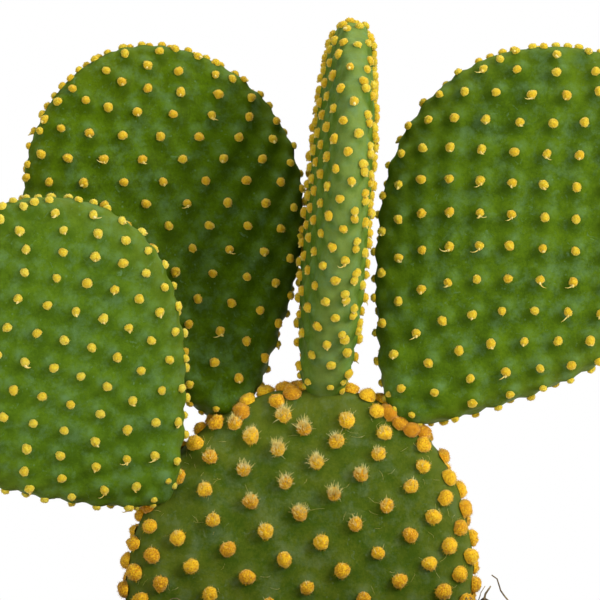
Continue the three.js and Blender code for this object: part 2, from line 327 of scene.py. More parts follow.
clay, clay_tree, clay_shader = material_named("fired_clay", roughness=0.9, specular=0.3)
clay_place = place_in(clay_tree)
clay_cloud = noise_at(clay_tree, clay_place, 38.0, detail=5.0, roughness=0.6, distortion=0.4)
clay_fine = noise_at(clay_tree, clay_place, 620.0, detail=3.0)
clay_body = ramp(clay_tree, clay_cloud, [
    (0.28, paint(150, 82, 52)), (0.5, paint(178, 100, 66)), (0.72, paint(196, 122, 86))])
clay_speck = mapped(clay_tree, clay_fine, 0.62, 0.7)
clay_dots = maths(clay_tree, "MULTIPLY", clay_speck, 0.5)
clay_dotted = mix(clay_tree, clay_dots, clay_body, paint(118, 62, 42))
clay_up = add(clay_tree, "ShaderNodeSeparateXYZ", {"Vector": clay_place}).outputs["Z"]
lime_low = mapped(clay_tree, clay_up, *LIME_ROUND_FOOT, 1.0, 0.0)
lime_high = mapped(clay_tree, clay_up, *LIME_UNDER_RIM, 0.0, 0.55)
lime_noise = noise_at(clay_tree, clay_place, 85.0, detail=6.0, roughness=0.68)
lime_zone = maths(clay_tree, "MAXIMUM", lime_low, lime_high)
lime = maths(clay_tree, "MULTIPLY", lime_zone, mapped(clay_tree, lime_noise, 0.46, 0.68))
lime = maths(clay_tree, "MULTIPLY", lime, LIME_STRENGTH)
clay_colour = mix(clay_tree, lime, clay_dotted, paint(222, 201, 182))
clay_tree.links.new(clay_colour, clay_shader.inputs["Base Color"])
clay_tree.links.new(mapped(clay_tree, clay_cloud, 0.3, 0.7, 0.82, 0.97), clay_shader.inputs["Roughness"])
clay_grit = noise_at(clay_tree, clay_place, 1900.0, detail=3.0)
clay_grain = maths(clay_tree, "ADD", clay_grit, clay_fine)
bumped(clay_tree, clay_shader, clay_grain, 0.12 * MM)

pot = mesh_object("thrown_clay_pot", thrown, pot_faces, clay)
drill_low, drill_high = -POT_FLOOR, 2 * POT_FLOOR
drill_line = [(0, drill_low), (DRAIN_RADIUS, drill_low), (DRAIN_RADIUS, drill_high), (0, drill_high)]
drill_points, drill_faces = lathe(drill_line, DRILL_SIDES)
for i in range(DRAIN_COUNT):
    turn = 2 * math.pi * i / DRAIN_COUNT + math.pi / 2
    drill = mesh_object(f"drill_{i}", drill_points, drill_faces, clay)
    drill.location = (DRAIN_CIRCLE * math.cos(turn), DRAIN_CIRCLE * math.sin(turn), 0)
    hole = pot.modifiers.new("drain_hole", "BOOLEAN")
    hole.operation = "DIFFERENCE"
    hole.object = drill
bpy.context.view_layer.update()
drilled = bpy.data.meshes.new_from_object(pot.evaluated_get(bpy.context.evaluated_depsgraph_get()))
pot.modifiers.clear()
pot.data = drilled
for i in range(DRAIN_COUNT):
    bpy.data.objects.remove(bpy.data.objects[f"drill_{i}"])
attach(pot, "root")
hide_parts("clay_pot")


# The soil is damp peat mix, heaped a little along the old pad and lower at the wall. Loose
# crumbs, white perlite and short dry fibres lie on it, and three dry stalks stand at its right.
SOIL_EDGE = POT_HEIGHT - 4 * MM
SOIL_CREST = POT_HEIGHT + 2.2 * MM
MOUND_HALF_LENGTH = 30 * MM
MOUND_FLAT = 7 * MM
MOUND_REACH = 25 * MM
CLOD_RELIEF = 0.9 * MM
CLOD_WAVES = [(0.5, 0.16, 0.55), (-0.2, 0.49, 0.5), (0.33, -0.42, 0.45)]
SOIL_GAP = 0.3 * MM
SOIL_LIP = 2 * MM
SOIL_RINGS = 104
SOIL_SEGMENTS = 208
FINE_RELIEF = 0.5 * MM
FINE_SCALE = 330
FINE_FALLOFF = 0.8
FINE_STEP = 2.1
FINE_LAYERS = 3
PAD_ROOM = (34.5 * MM, 7 * MM)
NEAR_PAD = (47 * MM, 18 * MM)
BESIDE_PAD = 35.5 * MM
NEAR_PAD_SIZES = (0.7 * MM, 1.0 * MM)
SMALL_GRAINS = 2.5
LUMP_SPREAD = 1.5
LUMP_SHORTEST = 0.65
LUMP_STRETCH = 0.6
LUMP_SPIN = 6.28
CRUMB_COUNT = 760
CRUMB_SIZES = (0.45 * MM, 1.5 * MM)
CRUMB_SINK = 0.3
CRUMB_ROUGHNESS = 0.2
CRUMB_SEED = 11
PERLITE_COUNT = 90
PERLITE_SIZES = (0.6 * MM, 1.4 * MM)
PERLITE_SINK = 0.35
PERLITE_ROUGHNESS = 0.14
PERLITE_SEED = 21
FIBRE_COUNT = 70
FIBRE_STEPS = 7
FIBRE_SIDES = 5
FIBRE_SEED = 31
FIBRE_RADII = (0.16 * MM, 0.06 * MM)
STALK_FOOT = Vector((34.8 * MM, -4.5 * MM, SOIL_CREST - 1 * MM))
# Each stalk's bends, in millimetres across and up from the stalks' foot.
STALKS = [
    [(7.4, 0), (6.7, 2.5), (5.8, 3.6), (5.1, 4.6), (4.9, 5.3), (4.4, 6.9), (3.3, 7.7)],
    [(1.3, 0), (1.6, 1.9), (1.9, 3.3), (2.1, 4.0), (2.5, 4.6), (2.8, 5.0), (3.1, 5.5)],
    [(0.0, 0), (0.4, 1.6), (0.7, 2.7), (1.0, 3.6), (1.2, 4.3), (1.6, 4.9), (2.0, 5.5)],
]
STALK_RADII = [(0.2 * MM, 0.14 * MM), (0.3 * MM, 0.16 * MM), (0.12 * MM, 0.08 * MM)]


def smoothstep(value, low, high):
    """Eases from 0 at low to 1 at high."""
    share = np.clip((value - low) / (high - low), 0, 1)
    return share * share * (3 - 2 * share)


def soil_height(x, y):
    """Height of the soil, with its mound and its clods, waves given in radians a millimetre."""
    from_pad = np.hypot(np.maximum(np.abs(x) - MOUND_HALF_LENGTH, 0), y)
    mound = 1 - smoothstep(from_pad, MOUND_FLAT, MOUND_REACH)
    waves = sum(share * np.sin((by_x * x + by_y * y) / MM) for by_x, by_y, share in CLOD_WAVES)
    return SOIL_EDGE + (SOIL_CREST - SOIL_EDGE) * mound + CLOD_RELIEF * waves


def scattered(count, seed, sizes, sink):
    """Places on the soil outside the old pad, and a size for each: arrays of centres and sizes.
    Only small grains lie close to the pad."""
    draw = np.random.default_rng(seed)
    centres = []
    while len(centres) < count:
        radius = (inner_radius(SOIL_EDGE) - SOIL_LIP) * math.sqrt(draw.random())
        turn = 2 * math.pi * draw.random()
        x, y = radius * math.cos(turn), radius * math.sin(turn)
        if (x / PAD_ROOM[0]) ** 4 + (y / PAD_ROOM[1]) ** 4 < 1:
            continue
        centres.append((x, y, float(soil_height(x, y))))
    size = sizes[0] + (sizes[1] - sizes[0]) * draw.random(count) ** SMALL_GRAINS
    centres = np.array(centres)
    aside, deep = np.abs(centres[:, 0]), np.abs(centres[:, 1])
    most = np.where(aside < BESIDE_PAD, *NEAR_PAD_SIZES)
    size = np.where((aside < NEAR_PAD[0]) & (deep < NEAR_PAD[1]), np.minimum(size, most), size)
    centres[:, 2] += size * sink
    return centres, size


def pebbles(centres, sizes, seed, roughness):
    """One mesh's points and faces for many small uneven lumps, and each point's lump number."""
    ball = bmesh.new()
    bmesh.ops.create_icosphere(ball, subdivisions=2, radius=1)
    form = np.array([tuple(v.co) for v in ball.verts])
    sides = np.array([[v.index for v in face.verts] for face in ball.faces])
    ball.free()
    draw = np.random.default_rng(seed)
    points, faces = [], []
    for number, (centre, size) in enumerate(zip(centres, sizes)):
        uneven = draw.normal(size=(len(form), 1)).clip(-LUMP_SPREAD, LUMP_SPREAD)
        lump = form * (1 + roughness * uneven)
        lump = lump * (size * (LUMP_SHORTEST + LUMP_STRETCH * draw.random(3)))
        turn = draw.random() * LUMP_SPIN
        spin = Matrix.Rotation(turn, 3, Vector(draw.normal(size=3)).normalized())
        points.append(lump @ np.array(spin).T + centre)
        faces.append(sides + number * len(form))
    owner = np.repeat(np.arange(len(sizes)), len(form))
    return np.concatenate(points), np.concatenate(faces).tolist(), owner


def set_value(made, name, values):
    """Stores one number for each point of a mesh, which a material can read by name."""
    made.data.attributes.new(name, "FLOAT", "POINT")
    made.data.attributes[name].data.foreach_set("value", np.asarray(values, np.float32))


def read_value(tree, name):
    """The number stored for each point under a name."""
    return add(tree, "ShaderNodeAttribute", attribute_name=name).outputs["Fac"]


soil_rim = inner_radius(SOIL_EDGE) - SOIL_GAP
soil_floor = POT_FLOOR + SOIL_GAP
soil_side = [
    (0, soil_floor), (inner_radius(soil_floor) - SOIL_GAP, soil_floor), (soil_rim, SOIL_EDGE - SOIL_LIP)]
soil_top = [(soil_rim * (1 - i / SOIL_RINGS), SOIL_EDGE) for i in range(SOIL_RINGS + 1)]
soil_points, soil_faces = lathe(soil_side + soil_top, SOIL_SEGMENTS)
heaped = []
for x, y, z in soil_points:
    if z > SOIL_EDGE - SOIL_LIP / 2:
        grain_at = Vector((x, y, 0)) * FINE_SCALE
        fine = FINE_RELIEF * noise.fractal(grain_at, FINE_FALLOFF, FINE_STEP, FINE_LAYERS)
        z = float(soil_height(x, y)) + fine
    heaped.append((x, y, z))

peat, peat_tree, peat_shader = material_named("damp_peat", roughness=0.96, specular=0.2)
peat_place = place_in(peat_tree)
peat_cloud = noise_at(peat_tree, peat_place, 210.0, detail=6.0, roughness=0.66)
peat_colour = ramp(peat_tree, peat_cloud, [
    (0.3, paint(38, 29, 22)), (0.52, paint(66, 51, 38)), (0.7, paint(98, 80, 60))])
peat_tree.links.new(peat_colour, peat_shader.inputs["Base Color"])
peat_tree.links.new(mapped(peat_tree, peat_cloud, 0.35, 0.6, 0.8, 1.0), peat_shader.inputs["Roughness"])
peat_crumb = noise_at(peat_tree, peat_place, 1500.0, detail=5.0, roughness=0.7)
bumped(peat_tree, peat_shader, peat_crumb, 0.5 * MM)
soil = mesh_object("heaped_soil", heaped, soil_faces, peat)
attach(soil, "root")
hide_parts("potting_soil")

crumb_material, crumb_tree, crumb_shader = material_named("soil_crumbs", roughness=0.97)
crumb_place = place_in(crumb_tree)
crumb_cloud = noise_at(crumb_tree, crumb_place, 1300.0, detail=5.0)
crumb_shift = mapped(crumb_tree, crumb_cloud, 0.3, 0.7, -0.2, 0.2)
crumb_tone = maths(crumb_tree, "ADD", read_value(crumb_tree, "tone"), crumb_shift)
crumb_colour = ramp(crumb_tree, crumb_tone, [
    (0.1, paint(36, 27, 20)), (0.5, paint(78, 60, 44)), (0.85, paint(120, 98, 74)),
    (1.0, paint(146, 132, 112))])
crumb_tree.links.new(crumb_colour, crumb_shader.inputs["Base Color"])
crumb_pits = noise_at(crumb_tree, crumb_place, 2600.0, roughness=0.7)
bumped(crumb_tree, crumb_shader, crumb_pits, 0.25 * MM)
crumb_centres, crumb_sizes = scattered(CRUMB_COUNT, CRUMB_SEED, CRUMB_SIZES, CRUMB_SINK)
crumb_points, crumb_faces, crumb_owner = pebbles(
    crumb_centres, crumb_sizes, CRUMB_SEED + 1, CRUMB_ROUGHNESS)
crumb_tones = np.random.default_rng(CRUMB_SEED + 2).random(CRUMB_COUNT)
crumbs = mesh_object("loose_crumbs", crumb_points, crumb_faces, crumb_material)
set_value(crumbs, "tone", crumb_tones[crumb_owner])
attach(crumbs, "root")

perlite_material, perlite_tree, perlite_shader = material_named("perlite", roughness=0.85)
perlite_pores = noise_at(perlite_tree, place_in(perlite_tree), 1700.0, roughness=0.65)
perlite_colour = ramp(perlite_tree, perlite_pores, [
    (0.3, paint(168, 158, 142)), (0.5, paint(222, 217, 206)), (0.7, paint(238, 235, 228))])
perlite_tree.links.new(perlite_colour, perlite_shader.inputs["Base Color"])
bumped(perlite_tree, perlite_shader, perlite_pores, 0.3 * MM)
perlite_centres, perlite_sizes = scattered(PERLITE_COUNT, PERLITE_SEED, PERLITE_SIZES, PERLITE_SINK)
perlite_points, perlite_faces, _ = pebbles(
    perlite_centres, perlite_sizes, PERLITE_SEED + 1, PERLITE_ROUGHNESS)
perlite = mesh_object("perlite_grains", perlite_points, perlite_faces, perlite_material)
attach(perlite, "root")


def unit(directions):
    """The same directions, each of length 1."""
    return directions / np.linalg.norm(directions, axis=-1, keepdims=True)


def square_to(ahead, slant):
    """Two unit directions square to each direction ahead and to each other. The slant, which none
    of them follows, settles how they are turned."""
    side = unit(np.cross(ahead, slant))
    return side, np.cross(ahead, side)


def tubes(paths, start_radius, end_radius, sides):
    """Points and faces of many thin tapered tubes, one along each path. All paths have as many
    points, and the radii may differ from tube to tube."""
    paths = np.asarray(paths, float)
    count, steps, _ = paths.shape
    side, other = square_to(unit(np.gradient(paths, axis=1)), (0.37, 0.21, 0.9))
    share = np.linspace(0, 1, steps)[None, :, None, None]
    start = np.broadcast_to(np.reshape(start_radius, (-1, 1, 1, 1)), (count, 1, 1, 1))
    end = np.broadcast_to(np.reshape(end_radius, (-1, 1, 1, 1)), (count, 1, 1, 1))
    radius = start + (end - start) * share
    turn = np.arange(sides) * 2 * math.pi / sides
    ring = side[:, :, None] * np.cos(turn)[:, None] + other[:, :, None] * np.sin(turn)[:, None]
    points = (paths[:, :, None] + radius * ring).reshape(-1, 3)
    faces = []
    for tube in range(count):
        for step in range(steps):
            low = (tube * steps + step) * sides
            if step == 0:
                faces.append(tuple(low + i for i in reversed(range(sides))))
            if step == steps - 1:
                faces.append(tuple(low + i for i in range(sides)))
                continue
            for i in range(sides):
                j = (i + 1) % sides
                faces.append((low + i, low + j, low + sides + j, low + sides + i))
    return points, faces


def strand_material(name, roughness, specular, stops, mottle, ridge, relief, detail=3.0):
    """The finish of thin dry strands: mottled by a noise of scale `mottle`, with fine ridges of
    scale `ridge` over it."""
    material, tree, shader = material_named(name, roughness, specular)
    place = place_in(tree)
    cloud = noise_at(tree, place, mottle, detail)
    tree.links.new(ramp(tree, cloud, stops), shader.inputs["Base Color"])
    bumped(tree, shader, noise_at(tree, place, ridge, detail=2.0), relief)
    return material


def fibre_line(draw, start):
    """A fibre that lies on the soil from a start, bent to one side, arched and dipped."""
    turn = draw.random() * 2 * math.pi
    length = (3 + 6 * draw.random()) * MM
    bend = draw.normal() * 0.9
    line = []
    for share in np.linspace(0, 1, FIBRE_STEPS):
        heading = turn + bend * share
        x = start[0] + length * share * math.cos(heading)
        y = start[1] + length * share * math.sin(heading)
        arch = (0.5 + 1.4 * math.sin(3 * share) ** 2) * MM
        line.append((x, y, float(soil_height(x, y)) + arch))
    return line


dry_fibre = strand_material(
    "dry_fibre", 0.85, 0.5, [
        (0.35, paint(74, 62, 38)), (0.5, paint(112, 94, 62)), (0.65, paint(156, 138, 100))],
    mottle=420.0, ridge=3000.0, relief=0.05 * MM)
fibre_draw = np.random.default_rng(FIBRE_SEED)
fibre_starts, _ = scattered(FIBRE_COUNT, FIBRE_SEED + 1, PERLITE_SIZES, sink=0.0)
fibre_paths = [fibre_line(fibre_draw, start) for start in fibre_starts]
for stalk in STALKS:
    fibre_paths.append([STALK_FOOT + Vector((across, 0, up)) * MM for across, up in stalk])
fibre_radii = np.array([FIBRE_RADII] * FIBRE_COUNT + STALK_RADII)
fibre_points, fibre_faces = tubes(fibre_paths, fibre_radii[:, 0], fibre_radii[:, 1], FIBRE_SIDES)
fibres = mesh_object("dry_fibres", fibre_points, fibre_faces, dry_fibre)
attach(fibres, "root")


# The old pad is a flat oval body of juicy flesh under a tough olive-green skin. It is rooted in
# the soil by its lower half, and its skin rises in a low wart under each tuft.
SECTION_POWER = 2.8
THICKNESS_POWER = 0.4
TIP_THINNING = 0.3
RIM_SHARPNESS = 5
TIP_SHARPNESS = 14
OUTLINE_STEPS = 100
NORMAL_STEP = 1e-3
NORMAL_EDGE = 1e-5
PERIMETER_STEPS = 180
PAD_BANDS = 120
GOLDEN_TURN = (math.sqrt(5) - 1) / 2
BURIED = 39.5 * MM
FOOT_SHIFT = -1.4 * MM
PLANT_FOOT = Vector((FOOT_SHIFT, 0, SOIL_CREST - BURIED))
JOINT_CLEARING = 4.8 * MM
BEAD_CLEARING = 3.7 * MM
COLLAR_TRIES = 6000
COLLAR_SEED = 91
COLLAR_BAND = 0.45
COLLAR_REACH = 6.4 * MM
COLLAR_DEPTH = 2.7 * MM
COLLAR_GAP = 2.4 * MM
COLLAR_SHARE = 1.5
COLLAR_SHADE = 0.72
OLD_PAD = {
    "length": 83 * MM, "width": 68.4 * MM, "thickness": 14 * MM, "fullness": 0.93, "wedge": 0.06,
    "bend": 0.0, "skew": 4.2 * MM, "tufts": 146, "phase": 0.1, "crowding": 2.6,
    "first_tuft": BURIED + 0.4 * MM, "wart_height": 0.7 * MM, "wart_reach": 2.8 * MM,
    "sway": 0.35 * MM, "bead_gap": 3.3 * MM, "bead_spread": 0.0, "tuft_size": 1.0, "seed": 5,
}
SKIN_RINGS = 128
SKIN_COLUMNS = 168
SECTION_STEPS = 720
BEAD_TRIES = 500
BEAD_SEED = 300
BEAD_SWAY = 0.25
BEAD_CLOSING = (0.6, 0.86)
SHADING_SHIFT = 1.5 * MM
SHADING_REACH = 1.5 * MM
WAVE_COUNT = 7
WAVE_SHORTEST = 9
WAVE_SPREAD = 16
WAVE_TURN = 6.28
SMOOTH_FOOT = 0.1
HALVINGS = 40


def signed_power(value, power):
    """The power of a value's size, with the value's sign."""
    return np.sign(value) * np.abs(value) ** power


def outline(pad, along):
    """Share of a pad's width at `along`, from 0 at the joint to 1 at the tip."""
    rounding = np.sqrt(np.maximum(0, 4 * along * (1 - along)))
    return rounding ** pad["fullness"] * (1 - pad["wedge"] * (1 - along) ** 2)


def half_sizes(pad, along):
    """Half width and half thickness of a pad at `along`."""
    widest = outline(pad, np.arange(1, OUTLINE_STEPS) / OUTLINE_STEPS).max()
    rounding = np.sqrt(np.maximum(0, 4 * along * (1 - along)))
    width = pad["width"] / 2 * outline(pad, along) / widest
    return width, pad["thickness"] / 2 * rounding ** THICKNESS_POWER * (1 - TIP_THINNING * along)


def skin_points(pad, along, angle):
    """Points of the skin, `along` the pad and at an angle round its flattened section."""
    along, angle = np.broadcast_arrays(np.asarray(along, float), np.asarray(angle, float))
    width, thickness = half_sizes(pad, along)
    x = width * signed_power(np.cos(angle), 2 / SECTION_POWER) + pad["skew"] * along ** 2
    y = thickness * signed_power(np.sin(angle), 2 / SECTION_POWER) + pad["bend"] * along ** 2
    return np.stack([x, y, pad["length"] * along], axis=-1)


def skin_normals(pad, along, angle):
    """Directions straight out of the skin at its points."""
    low = np.maximum(along - NORMAL_STEP, NORMAL_EDGE)
    high = np.minimum(along + NORMAL_STEP, 1 - NORMAL_EDGE)
    up = skin_points(pad, high, angle) - skin_points(pad, low, angle)
    before = skin_points(pad, along, angle - NORMAL_STEP)
    return unit(np.cross(skin_points(pad, along, angle + NORMAL_STEP) - before, up))


def rim_share(along, angle):
    """How far a point of the skin is on the thin rim, from 0 on a flat side to 1."""
    return np.maximum(np.abs(np.cos(angle)) ** RIM_SHARPNESS, along ** TIP_SHARPNESS)


def perimeter_table(pad, along):
    """Running totals of the weighted length round the section at `along`."""
    angle = 2 * math.pi * np.arange(PERIMETER_STEPS + 1) / PERIMETER_STEPS
    points = skin_points(pad, along, angle)
    lengths = np.linalg.norm(np.diff(points, axis=0), axis=1)
    crowded = 1 + pad["crowding"] * rim_share(along, angle[1:])
    return np.concatenate([[0], np.cumsum(lengths * crowded)])


def tuft_places(pad):
    """The tufts' places on the golden-angle spiral: points, outward directions, rim shares and how
    far along the pad each stands."""
    bands = (np.arange(PAD_BANDS) + 0.5) / PAD_BANDS
    areas = np.concatenate([[0], np.cumsum([perimeter_table(pad, along)[-1] for along in bands])])
    shares = np.linspace(0, 1, PAD_BANDS + 1)
    first = np.interp(pad["first_tuft"] / pad["length"], shares, areas) / areas[-1]
    along, angle = [], []
    for i in range(pad["tufts"]):
        area = (first + (i + 0.5) / pad["tufts"] * (1 - first)) * areas[-1]
        along.append(np.interp(area, areas, shares))
        table = perimeter_table(pad, along[-1])
        part = (i * GOLDEN_TURN + pad["phase"]) % 1
        steps = np.linspace(0, 2 * math.pi, PERIMETER_STEPS + 1)
        angle.append(np.interp(part * table[-1], table, steps))
    along, angle = np.array(along), np.array(angle)
    return skin_points(pad, along, angle), skin_normals(pad, along, angle), rim_share(along, angle), along


def eased_shares(count):
    """Shares from 0 to 1 that lie closer together towards both ends."""
    return 0.5 - 0.5 * np.cos(np.linspace(0, math.pi, count))


def with_rim_beads(pad, places):
    """The same places with more set along the thin rim wherever a gap is free, so that the tufts
    stand there like beads on a string, closest round the pad's tip."""
    at, out, rim, along = places
    draw = np.random.default_rng(pad["seed"] + BEAD_SEED)
    first = (pad["first_tuft"] + pad["bead_gap"]) / pad["length"]
    steps = eased_shares(BEAD_TRIES)
    for turn in (0, math.pi):
        for step in steps[steps > first]:
            angle = turn + BEAD_SWAY * draw.normal()
            place = skin_points(pad, step, angle)
            spread = pad["bead_spread"] * (1 - smoothstep(step, *BEAD_CLOSING))
            if np.linalg.norm(at - place, axis=1).min() < pad["bead_gap"] * (1 + spread):
                continue
            at = np.vstack([at, place])
            out = np.vstack([out, skin_normals(pad, min(step, 0.999), angle)])
            rim = np.append(rim, 1.0)
            along = np.append(along, step)
    return at, out, rim, along


def wart_rise(pad, points, tufts):
    """How high the skin stands on the warts, from 0 between them to 1 under a tuft."""
    rise = np.zeros(len(points))
    for tuft in tufts:
        rise = np.maximum(rise, np.exp(-((points - tuft) ** 2).sum(axis=1) / pad["wart_reach"] ** 2))
    return rise


def wart_shading_of(points, tufts):
    """Painted light and shade round each tuft's wart: 1 just above each tuft, where the lit side gets a
    pale patch, and -1 just below it, where a painted shadow falls.
    """
    above, below = (0, 0, SHADING_SHIFT), (0, 0, -SHADING_SHIFT)
    wart_shading = np.zeros(len(points))
    for tuft in tufts:
        wart_shading += np.exp(-((points - tuft - above) ** 2).sum(axis=1) / SHADING_REACH ** 2)
        wart_shading -= np.exp(-((points - tuft - below) ** 2).sum(axis=1) / SHADING_REACH ** 2)
    return wart_shading.clip(-1, 1)


def skin_lift(pad, points, tufts):
    """How far the skin stands out from its plain form: warts and slow uneven waves."""
    draw = np.random.default_rng(pad["seed"])
    waves = np.zeros(len(points))
    for _ in range(WAVE_COUNT):
        direction = Vector(draw.normal(size=3)).normalized()
        length = (WAVE_SHORTEST + WAVE_SPREAD * draw.random()) * MM
        phase = WAVE_TURN * draw.random()
        waves += np.sin(points @ np.array(direction) * 2 * math.pi / length + phase) / WAVE_COUNT
    edge = smoothstep(points[:, 2], 0, SMOOTH_FOOT * pad["length"])
    return pad["wart_height"] * wart_rise(pad, points, tufts) * edge + pad["sway"] * waves * edge


def skin_mesh(pad, tufts):
    """Points, faces and stored values of a pad's skin, in the pad's own frame."""
    along = eased_shares(SKIN_RINGS + 2)[1:-1]
    dense = np.linspace(0, 2 * math.pi, SECTION_STEPS + 1)
    angle = np.zeros((SKIN_RINGS, SKIN_COLUMNS))
    for ring in range(SKIN_RINGS):
        edge = np.linalg.norm(np.diff(skin_points(pad, along[ring], dense), axis=0), axis=1)
        travelled = np.concatenate([[0], np.cumsum(edge)])
        even = np.linspace(0, travelled[-1], SKIN_COLUMNS + 1)[:-1]
        angle[ring] = np.interp(even, travelled, dense)
    along = np.repeat(along[:, None], SKIN_COLUMNS, axis=1)
    points = skin_points(pad, along, angle).reshape(-1, 3)
    normals = skin_normals(pad, along, angle).reshape(-1, 3)
    values = {
        "wart": wart_rise(pad, points, tufts), "wart_shading": wart_shading_of(points, tufts),
        "rim": rim_share(along, angle).reshape(-1),
    }
    points = points + normals * skin_lift(pad, points, tufts)[:, None]
    points = np.concatenate([points, skin_points(pad, np.array([0.0, 1.0]), 0.0)])
    values = {key: np.concatenate([value, [0, 0]]) for key, value in values.items()}
    faces = ringed_faces(SKIN_RINGS, SKIN_COLUMNS, 0, len(points) - 2, len(points) - 1)
    return points, faces, values


def skin_group():
    """A node group for a cactus skin: mottled green with waxy bloom patches, pale specks and fine
    pores, with painted light in a pale patch above each tuft, painted shade below it and round its
    base, and a painted sheen on the thin rim. It gives a colour, a roughness and a height."""
    group = bpy.data.node_groups.new("cactus_skin", "ShaderNodeTree")
    colours = ["Green", "Deep Green", "Rim Sheen Green", "Bloom"]
    amounts = ["Bloom Amount", "Wart", "Wart_Shading", "Rim"]
    for name in colours:
        group.interface.new_socket(name, in_out="INPUT", socket_type="NodeSocketColor")
    for name in amounts:
        group.interface.new_socket(name, in_out="INPUT", socket_type="NodeSocketFloat")
    for name, kind in [("Color", "Color"), ("Roughness", "Float"), ("Height", "Float")]:
        group.interface.new_socket(name, in_out="OUTPUT", socket_type=f"NodeSocket{kind}")
    given = add(group, "NodeGroupInput").outputs
    place = place_in(group)
    wart_shading = given["Wart_Shading"]

    def part_of(value, share):
        """A share of a value."""
        return maths(group, "MULTIPLY", value, share)

    def total(first, second):
        """The sum of two values."""
        return maths(group, "ADD", first, second)

    def greater(first, second):
        """The greater of two values."""
        return maths(group, "MAXIMUM", first, second)

    cloud = noise_at(group, place, 110.0, detail=5.0, roughness=0.6, distortion=0.6)
    fine = noise_at(group, place, 560.0, detail=5.0, roughness=0.65)
    grain = noise_at(group, place, 1700.0, detail=3.0, roughness=0.75)
    # The mottle is noise, tipped lighter above each tuft and darker below it by the painted wart shading.
    mottle = total(total(part_of(cloud, 0.6), part_of(fine, 0.4)), part_of(wart_shading, 0.1))
    mottle = total(mottle, mapped(group, grain, 0.3, 0.7, -0.08, 0.08))
    colour = mix(group, mapped(group, mottle, 0.38, 0.62), given["Deep Green"], given["Green"])
    # Painted sheen: the thin rim turns a paler green, where the light grazes it.
    colour = mix(group, part_of(given["Rim"], 0.6), colour, given["Rim Sheen Green"])
    # Painted shade: a shadow below each tuft and a darker ring round its base, where the wart rises.
    shadow_below_tuft = part_of(mapped(group, wart_shading, -0.1, -0.8), 0.75)
    close = part_of(mapped(group, given["Wart"], 0.6, 0.95), 0.45)
    colour = mix(group, greater(shadow_below_tuft, close), colour, given["Deep Green"])

    patches = noise_at(group, place, 240.0, detail=7.0, roughness=0.74, distortion=0.15)
    scuffs = noise_at(group, place, 620.0, detail=6.0, roughness=0.7, distortion=0.9)
    waxy = noise_at(group, place, 420.0, detail=6.0, roughness=0.75)
    # The bloom colour falls on real waxy patches and scuffs, and as painted light on a pale patch on the
    # lit side above each tuft.
    above = part_of(mapped(group, wart_shading, 0.15, 0.9), mapped(group, waxy, 0.4, 0.64))
    wax_and_painted_light = greater(mapped(group, patches, 0.5, 0.74), above)
    wax_and_painted_light = greater(wax_and_painted_light, mapped(group, scuffs, 0.61, 0.7))
    colour = mix(group, part_of(wax_and_painted_light, given["Bloom Amount"]), colour, given["Bloom"])

    cells = add(group, "ShaderNodeTexVoronoi", {"Vector": place, "Scale": 760.0})
    dots = mapped(group, cells.outputs["Distance"], 0.08, 0.22, 1.0, 0.0)
    chosen = add(group, "ShaderNodeSeparateColor", {"Color": cells.outputs["Color"]}).outputs["Red"]
    dots = part_of(dots, mapped(group, chosen, 0.78, 0.92))
    colour = mix(group, part_of(dots, 0.35), colour, given["Bloom"])
    rough = mapped(group, wax_and_painted_light, 0.0, 1.0, 0.56, 0.8)
    pores = noise_at(group, place, 2100.0, detail=2.0, roughness=0.5)
    height = total(part_of(fine, 0.7), part_of(pores, 0.3))
    add(group, "NodeGroupOutput", {"Color": colour, "Roughness": rough, "Height": height})
    return group


CACTUS_SKIN = skin_group()


def skin_material(name, greens, bloom, bloom_amount):
    """A pad's skin: the skin group under a soft sheen of tiny hairs."""
    material, tree, shader = material_named(name, roughness=0.6, specular=0.1)
    shader.inputs["Specular Tint"].default_value = paint(226, 240, 150)
    shader.inputs["Sheen Weight"].default_value = 0.06
    shader.inputs["Sheen Roughness"].default_value = 0.5
    shader.inputs["Sheen Tint"].default_value = paint(196, 220, 110)
    skin = add(tree, "ShaderNodeGroup", node_tree=CACTUS_SKIN)
    for key, value in zip(("Green", "Deep Green", "Rim Sheen Green"), greens):
        skin.inputs[key].default_value = value
    skin.inputs["Bloom"].default_value = bloom
    skin.inputs["Bloom Amount"].default_value = bloom_amount
    for key in ("Wart", "Wart_Shading", "Rim"):
        tree.links.new(read_value(tree, key.lower()), skin.inputs[key])
    tree.links.new(skin.outputs["Color"], shader.inputs["Base Color"])
    tree.links.new(skin.outputs["Roughness"], shader.inputs["Roughness"])
    bumped(tree, shader, skin.outputs["Height"], 0.2 * MM, 0.8)
    return material


def flesh_piece(name, pad, tufts, turn, foot, material, node):
    """A pad's fleshy body with its skin, in the place of the pad's solid."""
    points, faces, values = skin_mesh(pad, tufts)
    made = mesh_object(name, turned_into(points, turn, foot), faces, material)
    for key, value in values.items():
        set_value(made, key, value)
    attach(made, "root")
    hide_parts(node)


def turned_into(points, turn, place):
    """Points carried from a pad's own frame into the whole plant's."""
    return np.asarray(points) @ np.array(turn.to_3x3()).T + np.array(place)


def rim_height_over(x, y):
    """Height of the old pad's upper rim over a point seen from above, by halving."""
    low, high = 0.5, 1.0
    for _ in range(HALVINGS):
        middle = (low + high) / 2
        width, thickness = half_sizes(OLD_PAD, middle)
        across = abs((x - OLD_PAD["skew"] * middle ** 2) / width) ** SECTION_POWER
        through = abs(y / thickness) ** SECTION_POWER
        if across + through < 1:
            low = middle
        else:
            high = middle
    return OLD_PAD["length"] * low


